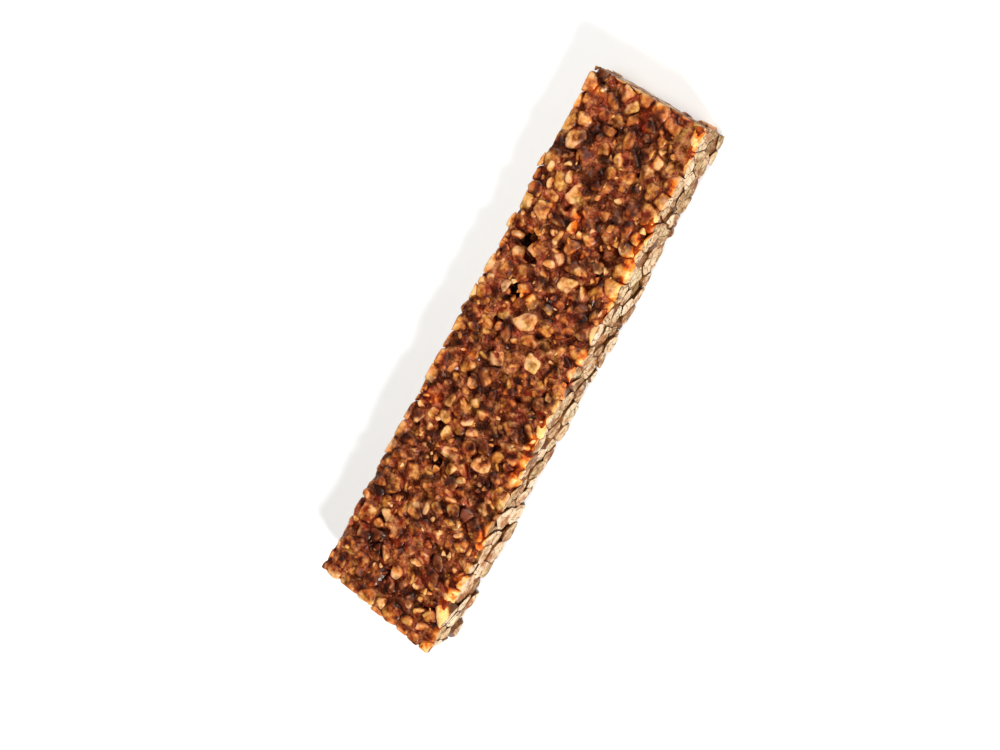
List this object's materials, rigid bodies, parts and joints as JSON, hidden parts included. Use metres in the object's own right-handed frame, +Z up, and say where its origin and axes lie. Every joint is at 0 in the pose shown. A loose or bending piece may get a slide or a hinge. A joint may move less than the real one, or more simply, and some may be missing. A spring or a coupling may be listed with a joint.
{
  "type": "nut brittle bar",
  "caption": "Flat bar of nut brittle: chopped roasted nuts set in dark caramel, with a rolled face and four knife-cut sides, to be eaten by hand.",
  "frame": {"origin": "middle of the flat underside", "axes": "+Z up out of the rolled face, +Y along the bar, +X out of a long knife-cut side"},
  "size_m": [0.032, 0.1276, 0.0119],
  "materials": {
    "brittle": "roasted nut pieces in glossy dark caramel"
  },
  "bodies": {
    "root": {"brittle_bar": "brittle"}
  },
  "joints": []
}
